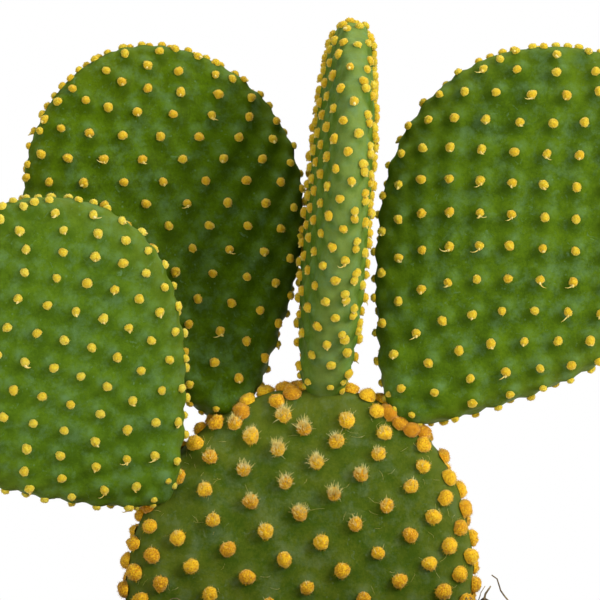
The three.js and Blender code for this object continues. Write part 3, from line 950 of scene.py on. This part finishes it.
# The young pads' forms, here because their joints crowd the old pad's tufts. `root` is where a
# joint stands on the old pad, seen from above. The angles turn the pad about its own length, lean
# it to the front and tilt it to the right, in degrees.
JOINT_SINK = 1.5 * MM
YOUNG = {
    "thickness": 12 * MM, "fullness": 1.12, "wedge": 0.66, "skew": 0.0, "crowding": 1.4,
    "first_tuft": 4.8 * MM, "wart_height": 0.95 * MM, "wart_reach": 2.15 * MM, "sway": 0.3 * MM,
    "bead_gap": 2.15 * MM, "bead_spread": 0.8, "tuft_size": 1.0,
}
YOUNG_PADS = {
    "back_left_pad": {
        "length": 78 * MM, "width": 55.5 * MM, "bend": -2 * MM, "tufts": 226, "phase": 0.31,
        "root": (-12.3 * MM, 2.2 * MM), "turn": 15, "lean": -6, "tilt": -17.5, "seed": 41},
    "front_left_pad": {
        "length": 70.5 * MM, "width": 60 * MM, "bend": 2 * MM, "tufts": 238, "phase": 0.62,
        "root": (-26.2 * MM, -2.5 * MM), "turn": -2, "lean": 17, "tilt": -40.5, "seed": 42},
    "centre_pad": {
        "length": 74.5 * MM, "width": 50 * MM, "bend": 0.0, "tufts": 214, "phase": 0.05,
        "crowding": 2.4, "bead_gap": 2.5 * MM, "tuft_size": 1.08, "root": (6 * MM, -1.5 * MM),
        "turn": 94, "lean": 2, "tilt": 4.5, "seed": 43},
    "right_pad": {
        "length": 84.5 * MM, "width": 62.5 * MM, "bend": -2 * MM, "tufts": 252, "phase": 0.47,
        "root": (21.5 * MM, 0.0), "turn": -8, "lean": 4, "tilt": 34.4, "seed": 44},
}


def frame_of(pad):
    """A young pad's turn and the place of its foot, in the old pad's own frame."""
    spin = Matrix.Rotation(math.radians(pad["tilt"]), 4, "Y")
    spin = spin @ Matrix.Rotation(math.radians(pad["lean"]), 4, "X")
    spin = spin @ Matrix.Rotation(math.radians(pad["turn"]), 4, "Z")
    x, y = pad["root"]
    foot = Vector((x, y, rim_height_over(x, y))) - (spin @ Vector((0, 0, 1))) * JOINT_SINK
    return spin, foot


def section_share(pad, turn, foot, points):
    """Where points lie in a young pad's section: under 1 inside the pad and over 1 outside it."""
    local = (points - np.array(foot)) @ np.array(turn.to_3x3())
    along = (local[:, 2] / pad["length"]).clip(0.002, 0.998)
    width, thickness = half_sizes(pad, along)
    across = np.abs(local[:, 0] - pad["skew"] * along ** 2) / width
    through = np.abs(local[:, 1] - pad["bend"] * along ** 2) / thickness
    return across ** SECTION_POWER + through ** SECTION_POWER


joint_frames = {name: frame_of(pad) for name, pad in YOUNG_PADS.items()}


def cleared(places, distance):
    """The places that stand further than a distance from every joint."""
    for _, foot in joint_frames.values():
        clear = np.linalg.norm(places[0] - np.array(foot), axis=1) > distance
        places = [values[clear] for values in places]
    return places


old_places = cleared(tuft_places(OLD_PAD), JOINT_CLEARING)
old_at, old_out, old_rim, old_along = cleared(with_rim_beads(OLD_PAD, old_places), BEAD_CLEARING)


def collar_places(taken):
    """Places that crowd round the joints, clear of the young pads and of the places `taken`."""
    draw = np.random.default_rng(COLLAR_SEED)
    along = 1 - COLLAR_BAND * draw.random(COLLAR_TRIES) ** 2
    angle = 2 * math.pi * draw.random(COLLAR_TRIES)
    points = skin_points(OLD_PAD, along, angle)
    near = np.full(COLLAR_TRIES, 1.0)
    free = np.abs(points[:, 1]) < COLLAR_DEPTH
    for name, (turn, foot) in joint_frames.items():
        near = np.minimum(near, np.linalg.norm(points - np.array(foot), axis=1))
        free &= section_share({**YOUNG, **YOUNG_PADS[name]}, turn, foot, points) > COLLAR_SHARE
    chosen = []
    for i in np.flatnonzero(free & (near < COLLAR_REACH)):
        close = np.vstack([taken] + [points[j] for j in chosen])
        if np.linalg.norm(close - points[i], axis=1).min() > COLLAR_GAP:
            chosen.append(i)
    along, angle = along[chosen].clip(0, 0.998), angle[chosen]
    return points[chosen], skin_normals(OLD_PAD, along, angle), np.ones(len(chosen)), along


collar = collar_places(old_at)
# Painted shade: the collar tufts are browned, a painted shadow of the young pads over them.
old_shaded = np.concatenate([np.zeros(len(old_at)), np.full(len(collar[0]), COLLAR_SHADE)])
old_at, old_out, old_rim, old_along = [
    np.concatenate(both) for both in zip((old_at, old_out, old_rim, old_along), collar)]
NO_TURN = Matrix.Identity(4)

old_greens = (paint(82, 96, 22), paint(55, 78, 12), paint(90, 100, 32))
old_skin = skin_material("old_pad_skin", old_greens, paint(104, 122, 90), 0.46)
flesh_piece("old_pad_flesh", OLD_PAD, old_at, NO_TURN, PLANT_FOOT, old_skin, "mother_pad")


# The tufts are hundreds of barbed bristles, each finer than a hair, that splay out of a small
# woolly cushion. They are deep gold at the heart and pale at the edge, and larger on the old pad.
CORE_SHARE = 0.88
CORE_RINGS = 5
CORE_SIDES = 12
CORE_FROM = 20
CORE_TO = 104
CORE_ROUGHNESS = 0.07
BARB_SPREAD = math.radians(88)
BARB_CORNERS = (0, 2.094, 4.189)
BARB_FROM = (0.7, 0.66)
BARB_REACH = 1.03
BARB_UNEVENNESS = 0.08
POLAR_SWAY = 0.05
SPIN_SWAY = 0.1
OVAL = 0.06
THREE_CORNERED = 0.04
TUFT_SEED = 500


def tuft_core():
    """Points and faces of a unit dome that closes under itself, with its tip as the last point."""
    polar = np.radians(np.linspace(CORE_FROM, CORE_TO, CORE_RINGS))[:, None]
    turn = (2 * math.pi * np.arange(CORE_SIDES) / CORE_SIDES)[None, :]
    ring = [np.sin(polar) * np.cos(turn), np.sin(polar) * np.sin(turn), np.cos(polar) + 0 * turn]
    points = np.vstack([np.stack(ring, axis=-1).reshape(-1, 3), (0, 0, 1)])
    faces = []
    for i in range(CORE_SIDES):
        j = (i + 1) % CORE_SIDES
        faces.append((CORE_RINGS * CORE_SIDES, i, j))
        for low in range(0, (CORE_RINGS - 1) * CORE_SIDES, CORE_SIDES):
            faces.append((low + i, low + CORE_SIDES + i, low + CORE_SIDES + j))
            faces.append((low + i, low + CORE_SIDES + j, low + j))
    return points, np.array(faces)


def tuft_form(spin, turns):
    """How far each tuft reaches at an angle about it: a little oval and three-cornered."""
    oval = OVAL * np.cos(2 * spin + turns[:, 0])
    return 1 + oval + THREE_CORNERED * np.cos(3 * spin + turns[:, 1])


def tuft_mesh(at, out, radius, height, shaded, count, seed, thickness):
    """Points, faces and stored values of many tufts, each a felted dome that thin three-sided
    bristles stand out of. `radius`, `height` and `shaded` hold one number for each tuft: `shaded`
    is above 0 where painted shade browns a tuft and under 0 where painted light and its pad's
    paleness make a tuft paler. The bristles' faces come first, and their number is given back too."""
    draw = np.random.default_rng(seed)
    tufts = len(at)
    every = (tufts, count)
    side, other = square_to(out, (0.31, 0.12, 0.94))
    part = (np.arange(count) + 0.5) / count
    polar = np.arccos(1 - part * (1 - math.cos(BARB_SPREAD)))
    polar = polar + draw.normal(scale=POLAR_SWAY, size=every)
    spin = 2 * math.pi * GOLDEN_TURN * np.arange(count) + draw.normal(scale=SPIN_SWAY, size=every)
    spin = spin + 2 * math.pi * draw.random((tufts, 1))
    reach = BARB_REACH + BARB_UNEVENNESS * draw.normal(size=every).clip(-1.8, 1.8)
    turns = 2 * math.pi * draw.random((tufts, 2, 1))
    reach = reach * tuft_form(spin, turns)
    sideways = side[:, None] * np.cos(spin)[..., None] + other[:, None] * np.sin(spin)[..., None]
    wide = radius[:, None] * np.sin(polar)
    tall = height[:, None] * np.maximum(np.cos(polar), 0)

    def stretched(across, up):
        """Points at these shares of each bristle's way sideways and outward."""
        return at[:, None] + sideways * (across * wide)[..., None] + out[:, None] * (up * tall)[..., None]

    root = stretched(*BARB_FROM)
    tip = stretched(reach, reach)
    first, second = square_to(unit(tip - root), (0.2, 0.5, -0.84))
    corners = [root + thickness * (math.cos(a) * first + math.sin(a) * second) for a in BARB_CORNERS]
    points = np.stack(corners + [tip], axis=2).reshape(-1, 3)
    begin = np.arange(tufts * count)[:, None, None] * 4
    faces = (begin + np.array([[0, 1, 3], [1, 2, 3], [2, 0, 3], [2, 1, 0]])).reshape(-1, 3)
    edge = np.sin(polar) ** 2
    heat = np.stack([0.14 + 0.4 * edge] * 3 + [0.24 + 0.66 * edge], axis=2).reshape(-1)

    core, core_faces = tuft_core()
    lump = tuft_form(np.arctan2(core[:, 1], core[:, 0])[None], turns)
    lump = CORE_SHARE * (lump + CORE_ROUGHNESS * draw.normal(size=(tufts, len(core))))[..., None]
    dome = side[:, None] * core[:, :1] + other[:, None] * core[:, 1:2]
    dome = at[:, None] + dome * radius[:, None, None] * lump
    dome = dome + out[:, None] * core[:, 2:] * height[:, None, None] * lump
    core_heat = 0.1 + 0.7 * (1 - core[:, 2].clip(0, 1)) ** 1.2
    core_faces = (np.arange(tufts)[:, None, None] * len(core) + core_faces).reshape(-1, 3) + len(points)
    # Each tuft's tone is a random shift minus `shaded`, so it carries the painted shade and painted light
    # too.
    tone = 0.2 + 0.6 * draw.random(tufts) - shaded
    tones = np.concatenate([np.repeat(tone, count * 4), np.repeat(tone, len(core))])
    heats = np.concatenate([heat, np.tile(core_heat, tufts)])
    return (np.concatenate([points, dome.reshape(-1, 3)]), np.concatenate([faces, core_faces]).tolist(),
            heats, tones, len(faces))


def gold_material(name, stops):
    """The barbs' gold, from the heart of a tuft to its edge, a little different from tuft to tuft, and
    browned by painted shade and paled by painted light through each tuft's tone.
    """
    material, tree, shader = material_named(name, roughness=0.7, specular=0.15)
    shader.inputs["Sheen Weight"].default_value = 0.7
    shader.inputs["Sheen Roughness"].default_value = 0.4
    shader.inputs["Sheen Tint"].default_value = paint(250, 232, 176)
    shader.inputs["Subsurface Weight"].default_value = 0.3
    shader.inputs["Subsurface Radius"].default_value = (1, 0.7, 0.3)
    shader.inputs["Subsurface Scale"].default_value = 0.5 * MM
    place = place_in(tree)
    grain = mapped(tree, noise_at(tree, place, 3100.0, roughness=0.75), 0.3, 0.7, -0.22, 0.22)
    share = maths(tree, "ADD", read_value(tree, "heat"), grain)
    share = maths(tree, "ADD", share, maths(tree, "MULTIPLY", read_value(tree, "tone"), 0.2))
    share = maths(tree, "SUBTRACT", share, 0.02)
    tree.links.new(ramp(tree, share, stops), shader.inputs["Base Color"])
    bumped(tree, shader, noise_at(tree, place, 3400.0, roughness=0.75), 0.19 * MM)
    return material


def tufts_piece(name, pad, places, turn, foot, sizes, gold):
    """One pad's tufts as one piece that stands on its warts. `places` holds the tufts' points,
    outward directions, rim shares and a shading value for each: above 0 painted shade browns the
    tuft, below 0 the tuft is paler, from painted light on rims and a lit side and from its pad's
    paleness. Gives back where the tufts stand in the whole plant, and their outward directions."""
    at, out, rim, shaded = places
    at = at + out * skin_lift(pad, at, at)[:, None]
    draw = np.random.default_rng(pad["seed"] + TUFT_SEED)
    scale = (1 + sizes["rim_gain"] * rim) * (0.9 + 0.2 * draw.random(len(at))) * pad["tuft_size"]
    world_at = turned_into(at, turn, foot)
    world_out = turned_into(out, turn, (0, 0, 0))
    points, faces, heat, tone, bristle_faces = tuft_mesh(
        world_at, world_out, sizes["radius"] * scale, sizes["height"] * scale, shaded,
        sizes["bristles"], pad["seed"], sizes["thickness"])
    made = mesh_object(name, points, faces, gold)
    made.data.polygons.foreach_set("use_smooth", np.arange(len(faces)) >= bristle_faces)
    set_value(made, "heat", heat)
    set_value(made, "tone", tone)
    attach(made, "root")
    return world_at, world_out


OLD_TUFT = {
    "radius": 1.63 * MM, "height": 1.32 * MM, "rim_gain": 0.2, "bristles": 150, "thickness": 0.075 * MM,
}
old_gold = gold_material("golden_barbs_old", [
    (0.0, paint(196, 132, 10)), (0.1, paint(234, 180, 20)), (0.24, paint(244, 202, 36)),
    (0.44, paint(246, 216, 66)), (0.74, paint(248, 228, 112)), (1.0, paint(250, 236, 164))])
old_tuft_at, old_tuft_out = tufts_piece(
    "old_pad_tufts", OLD_PAD, (old_at, old_out, old_rim, old_shaded), NO_TURN, PLANT_FOOT, OLD_TUFT,
    old_gold)


# Pale bristles cover the upper half of the tufts on the middle of the old pad like a soft brush,
# a few stand on its other tufts, and fine pale hairs lie here and there on its skin.
CROWN_BRISTLES = 145
SPARE_BRISTLES = 4
CROWN_HALF_WIDTH = 17 * MM
CROWN_BAND = (0.6, 0.74)
BRISTLE_RIM_LIMIT = 0.45
UPWARD = np.array([0, 0, 1])
BRISTLE_FROM = 1.1 * MM
BRISTLE_STEPS = 4
BRISTLE_RADII = (0.06 * MM, 0.016 * MM)
BRISTLE_SEED = 71
HAIR_COUNT = 170
HAIR_FROM = 0.52
HAIR_BAND = 0.44
HAIR_STEPS = 7
HAIR_RADII = (0.017 * MM, 0.008 * MM)
HAIR_SEED = 81
STRAND_SIDES = 3

pale = strand_material(
    "pale_bristles", 0.6, 0.35, [
        (0.3, paint(222, 194, 92)), (0.5, paint(234, 216, 130)), (0.7, paint(240, 230, 172))],
    mottle=900.0, ridge=4000.0, relief=0.02 * MM, detail=2.0)

bristle_draw = np.random.default_rng(BRISTLE_SEED)
bristle_paths = []
for at, out, rim, along in zip(old_tuft_at, old_tuft_out, old_rim, old_along):
    if rim > BRISTLE_RIM_LIMIT:
        continue
    crowned = math.exp(-(at[0] / CROWN_HALF_WIDTH) ** 2) * float(smoothstep(along, *CROWN_BAND))
    crowned = crowned * (0.5 + 0.5 * bristle_draw.random())
    for _ in range(SPARE_BRISTLES + round(CROWN_BRISTLES * crowned)):
        spread = bristle_draw.normal(size=3)
        base = unit(out + 0.8 * (spread - out * (spread @ out)) + 0.35 * UPWARD) * BRISTLE_FROM
        heading = unit(0.5 * out + 0.75 * UPWARD + 0.38 * spread)
        length = (0.6 + 0.5 * bristle_draw.random() + 0.9 * crowned * bristle_draw.random() ** 2) * MM
        curl = bristle_draw.normal(size=3) * 0.22
        steps = np.linspace(0, 1, BRISTLE_STEPS)[:, None]
        bristle_paths.append(at + base + (heading * steps + curl * steps ** 2) * length)
bristle_points, bristle_faces = tubes(bristle_paths, *BRISTLE_RADII, STRAND_SIDES)
bristles = mesh_object("old_pad_bristles", bristle_points, bristle_faces, pale)
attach(bristles, "root")

hair_draw = np.random.default_rng(HAIR_SEED)
hair_paths = []
for _ in range(HAIR_COUNT):
    along = HAIR_FROM + HAIR_BAND * hair_draw.random()
    side = math.pi / 2 if hair_draw.random() < 0.5 else -math.pi / 2
    side_angle = side + 0.84 * math.pi * (hair_draw.random() - 0.5)
    base = skin_points(OLD_PAD, along, side_angle)
    out = skin_normals(OLD_PAD, along, side_angle)
    flow = hair_draw.normal(size=3) * np.array([1, 0.3, 1])
    flow = unit(flow - out * (flow @ out))
    turn_side = np.cross(out, flow)
    length = (0.8 + 1.5 * hair_draw.random()) * MM
    bend = hair_draw.normal() * 0.7
    steps = np.linspace(0, 1, HAIR_STEPS)[:, None]
    lift = (0.12 + 0.5 * np.sin(math.pi * steps) * hair_draw.random()) * MM
    lift = lift + skin_lift(OLD_PAD, base[None], old_at)[0]
    strand = base + flow * steps * length + turn_side * bend * length * steps ** 2 + out * lift
    hair_paths.append(strand + np.array(PLANT_FOOT))
hair_points, hair_faces = tubes(hair_paths, *HAIR_RADII, STRAND_SIDES)
hairs = mesh_object("old_pad_hairs", hair_points, hair_faces, pale)
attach(hairs, "root")


# The young pads are this year's growth: thinner and fresher green, narrow at the joint, with
# close even tufts, some in pairs on the centre pad's front rim. Many tufts still hold the dry
# curled remains of the small leaf under them.
YOUNG_TUFT = {
    "radius": 1.03 * MM, "height": 0.86 * MM, "rim_gain": -0.08, "bristles": 60, "thickness": 0.064 * MM,
}
young_gold = gold_material("golden_barbs_young", [
    (0.0, paint(206, 156, 10)), (0.18, paint(210, 180, 30)), (0.36, paint(214, 196, 66)),
    (0.66, paint(222, 208, 108)), (1.0, paint(234, 224, 160))])
# Each pad's greens are its plain green, its deep green and a paler green for its thin rim, which paints
# the sheen there.
YOUNG_GREENS = {
    "back_left_pad": (paint(70, 97, 3), paint(49, 71, 0), paint(82, 98, 6)),
    "front_left_pad": (paint(78, 107, 17), paint(58, 85, 10), paint(90, 105, 30)),
    "centre_pad": (paint(90, 116, 34), paint(62, 92, 14), paint(116, 134, 66)),
    "right_pad": (paint(80, 108, 14), paint(56, 82, 8), paint(94, 110, 26)),
}
YOUNG_BLOOM = paint(100, 134, 94)
BLOOM_AMOUNTS = {"back_left_pad": 0.38, "front_left_pad": 0.5, "centre_pad": 0.55, "right_pad": 0.5}
TUFT_PALENESS = {"back_left_pad": 0, "front_left_pad": 0.75, "centre_pad": 0.1, "right_pad": 0.3}
LEAF_SHARE = 0.5
LEAF_RIM_LOSS = 0.7
LEAF_STEPS = 7
LEAF_SIDES = 5
LEAF_DOWN = 0.58 * MM
LEAF_OUT = 0.36 * MM
LEAF_TIP = 0.03 * MM
LEAF_SEED = 900
CURL_SHARES = {"back_left_pad": 0.12, "front_left_pad": 0.08, "centre_pad": 0.1, "right_pad": 0.36}
CURL_RIGHT_SHARE = 0.3
RIM_TUFT_HIGHLIGHT = 0.3
FOOT_TUFTS = 11
FOOT_TUFT_SIZE = 0.72
FOOT_TUFT_BAND = (1.7 * MM, 0.6 * MM)
TWIN_SEED = 600
TWIN_SHARE = 0.75
TWIN_GAP = 1.55 * MM
TWIN_BAND = (-4.4 * MM, -1.0 * MM)
TWIN_FLOOR = 0.13
LIT_SIDE_PALENESS = 0.3

dry_leaf = strand_material(
    "dry_leaf_remains", 0.7, 0.5, [
        (0.3, paint(200, 168, 62)), (0.5, paint(214, 190, 96)), (0.7, paint(226, 210, 138))],
    mottle=1100.0, ridge=3600.0, relief=0.06 * MM)


def with_foot_tufts(pad, at, out, rim):
    """The same tufts with a few small ones more in the first millimetres above the joint."""
    low, below_first = FOOT_TUFT_BAND
    along = np.linspace(low, pad["first_tuft"] - below_first, FOOT_TUFTS) / pad["length"]
    angle = 2 * math.pi * (GOLDEN_TURN * np.arange(FOOT_TUFTS) + pad["phase"])
    smaller = np.full(FOOT_TUFTS, (FOOT_TUFT_SIZE - 1) / YOUNG_TUFT["rim_gain"])
    at = np.vstack([at, skin_points(pad, along, angle)])
    return at, np.vstack([out, skin_normals(pad, along, angle)]), np.concatenate([rim, smaller])


def with_twins(pad, at, out, rim):
    """The same tufts with a second one close below many of those that stand a little to the right
    on the front rim of a pad that is seen edge-on. Tells too how far each stands on the front rim's
    right side, which the key lamp lights, from 0 to 1: painted light makes those tufts paler."""
    draw = np.random.default_rng(pad["seed"] + TWIN_SEED)
    chosen = (at[:, 0] < 0) & (at[:, 1] > TWIN_BAND[0]) & (at[:, 1] < TWIN_BAND[1])
    chosen &= (at[:, 2] > TWIN_FLOOR * pad["length"]) & (draw.random(len(at)) < TWIN_SHARE)
    aside = np.stack([0 * at[:, 0], -0.6 * draw.random(len(at)), 0 * at[:, 0] - 1], axis=1)[chosen]
    aside -= out[chosen] * (aside * out[chosen]).sum(axis=1, keepdims=True)
    at = np.vstack([at, at[chosen] + unit(aside) * TWIN_GAP])
    # Painted light: tufts towards the right of the front rim, where the key lamp falls, are marked to be
    # paler.
    pale = smoothstep(-at[:, 1], 0, -TWIN_BAND[0]) * (at[:, 0] < 0)
    return at, np.vstack([out, out[chosen]]), np.concatenate([rim, rim[chosen]]), pale


def leaf_lines(draw, place, out, curl_share):
    """What is left of a tuft's leaf, as lines and radii: a short curved stub below the tuft, and
    on some a thin trail that curls to one side, mostly the left."""
    down = np.array([0.25 * draw.normal(), 0.1 * draw.normal(), -1.0])
    down = unit(down - out * (down @ out))
    across = np.cross(out, down)
    length = (0.3 + 0.24 * draw.random()) * MM
    curl = draw.normal() * 0.9
    steps = np.linspace(0, 1, LEAF_STEPS)[:, None]
    start = place + down * LEAF_DOWN + out * LEAF_OUT
    hang = down * np.sin(1.9 * steps) + across * curl * (1 - np.cos(1.7 * steps))
    lift = out * (0.35 * np.sin(2.4 * steps) + 0.25 * steps)
    lines = [start + (hang + lift) * length]
    radii = [(0.27 + 0.13 * draw.random()) * MM]
    if draw.random() < curl_share:
        side = across if draw.random() < CURL_RIGHT_SHARE else -across
        heading = 0.4 + 0.6 * draw.random() + (0.3 + 1.5 * draw.random()) * steps
        trail = np.cumsum(np.cos(heading) * down + np.sin(heading) * side, axis=0) / LEAF_STEPS
        arch = out * 0.3 * np.sin(2.2 * steps)
        lines.append(start + (trail + arch) * (1.2 + 0.9 * draw.random()) * MM)
        radii.append((0.12 + 0.05 * draw.random()) * MM)
    return lines, radii


for name, own in YOUNG_PADS.items():
    pad = {**YOUNG, **own}
    turn, foot = joint_frames[name]
    foot = foot + PLANT_FOOT
    at, out, rim, _ = with_rim_beads(pad, tuft_places(pad))
    at, out, rim = with_foot_tufts(pad, at, out, rim)
    lit_side_share = 0.0
    if name == "centre_pad":
        at, out, rim, lit_side_share = with_twins(pad, at, out, rim)
    material = skin_material(f"{name}_skin", YOUNG_GREENS[name], YOUNG_BLOOM, BLOOM_AMOUNTS[name])
    flesh_piece(f"{name}_flesh", pad, at, turn, foot, material, name)
    # Painted light: tufts on the thin rim and on the centre pad's lit right side are made paler; each
    # pad's own paleness is added too.
    shaded = -RIM_TUFT_HIGHLIGHT * rim.clip(0, 1) - TUFT_PALENESS[name] - LIT_SIDE_PALENESS * lit_side_share
    tuft_at, tuft_out = tufts_piece(
        f"{name}_tufts", pad, (at, out, rim, shaded), turn, foot, YOUNG_TUFT, young_gold)

    draw = np.random.default_rng(pad["seed"] + LEAF_SEED)
    leaf_paths, leaf_radii = [], []
    for place, outward, rim_part in zip(tuft_at, tuft_out, rim):
        if draw.random() > LEAF_SHARE * (1 - LEAF_RIM_LOSS * rim_part):
            continue
        lines, radii = leaf_lines(draw, place, outward, CURL_SHARES[name])
        leaf_paths += lines
        leaf_radii += radii
    leaf_points, leaf_faces = tubes(leaf_paths, np.array(leaf_radii), LEAF_TIP, LEAF_SIDES)
    leaves = mesh_object(f"{name}_leaf_remains", leaf_points, leaf_faces, dry_leaf)
    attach(leaves, "root")
